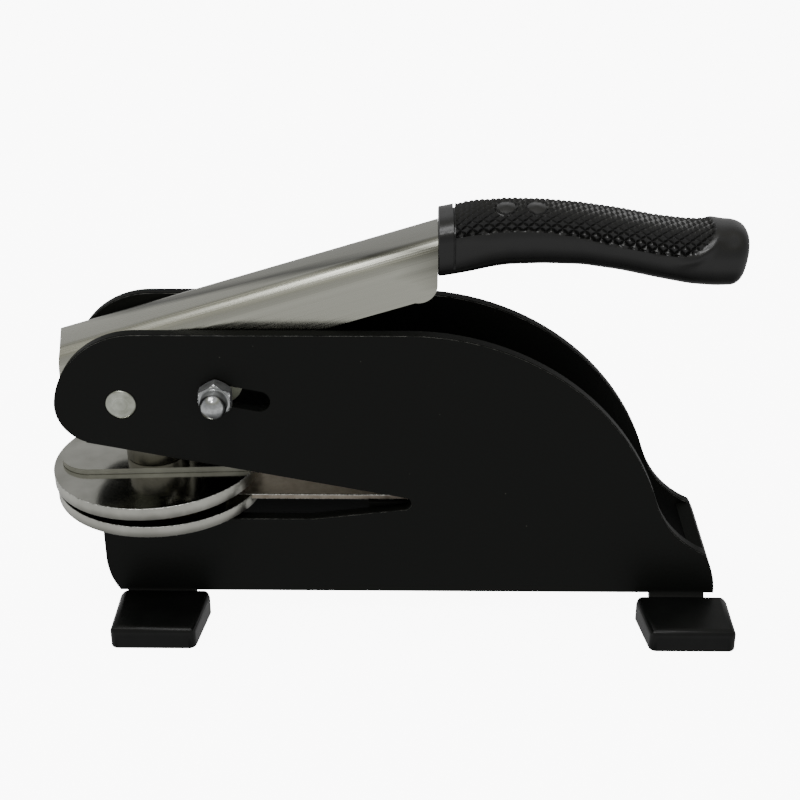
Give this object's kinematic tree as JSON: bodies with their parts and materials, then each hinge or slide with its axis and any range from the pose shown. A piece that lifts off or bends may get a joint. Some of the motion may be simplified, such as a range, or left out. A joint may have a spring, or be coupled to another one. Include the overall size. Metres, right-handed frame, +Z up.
{
  "type": "seal embosser",
  "caption": "Desk embossing press: lever with rubber grip drives a sprung upper die onto a lower die between two black side plates on booted feet.",
  "frame": {"origin": "on the desk, under the middle of the press's overall box", "axes": "+X along the press from the dies at -X to the grip at +X, +Y across the side plates, +Z up"},
  "size_m": [0.2222, 0.082, 0.1344],
  "materials": {
    "black_coat": "smooth black powder coat, satin",
    "bright_steel": "machined steel, bright",
    "brushed_steel": "fine brushed stainless sheet",
    "polished_plate": "polished plated steel",
    "leaf_steel": "rolled spring steel, greyish brown",
    "seal_brass": "engraved brass",
    "zinc_steel": "zinc plated steel",
    "pale_sleeve": "pale moulded sleeve",
    "grip_rubber": "black moulded rubber, textured",
    "foot_plastic": "black moulded plastic"
  },
  "bodies": {
    "frame": {"side_plate_left": "black_coat", "side_plate_right": "black_coat", "back_plate": "black_coat", "anvil_block": "black_coat", "rear_block": "black_coat", "lever_pin": "bright_steel", "thrust_washers": "bright_steel", "front_foot_left": "foot_plastic", "front_foot_right": "foot_plastic", "rear_foot_left": "foot_plastic", "rear_foot_right": "foot_plastic", "lower_die_disc": "polished_plate", "lower_leaf": "leaf_steel", "lower_seal_plate": "seal_brass", "leaf_spacer": "leaf_steel", "leaf_screws": "zinc_steel", "leaf_root": "polished_plate"},
    "upper_jaw": {"upper_die_disc": "polished_plate", "upper_leaf": "polished_plate", "upper_seal_plate": "seal_brass", "pressure_pad": "bright_steel"},
    "lever": {"lever_channel": "brushed_steel", "pivot_sleeve": "bright_steel", "presser_roller": "bright_steel", "presser_pin": "bright_steel", "lever_tang": "zinc_steel", "grip_collar": "grip_rubber", "grip": "grip_rubber"},
    "stop": {"stop_bolt": "zinc_steel", "cap_nuts": "polished_plate", "stop_sleeve": "pale_sleeve"}
  },
  "joints": [
    {"name": "lever_hinge", "type": "hinge", "parent": "frame", "child": "lever", "pos_m": [-0.08375, 0, 0.0767], "axis": [0, 1, 0], "range_deg": [0, 9], "stiffness_Nm_per_rad": 4, "springref_deg": -6.88},
    {"name": "jaw_hinge", "type": "hinge", "parent": "frame", "child": "upper_jaw", "pos_m": [-0.144, 0, 0.0469], "axis": [0, 1, 0], "range_deg": [0, 1.8], "stiffness_Nm_per_rad": 4, "springref_deg": -3.44},
    {"name": "stop_slide", "type": "slide", "parent": "frame", "child": "stop", "axis": [0.9813, 0, -0.1925], "range_m": [0, 0.0134]}
  ],
  "couplings": [
    {"joint": "jaw_hinge", "follows": "lever_hinge", "ratio": 0.2}
  ]
}
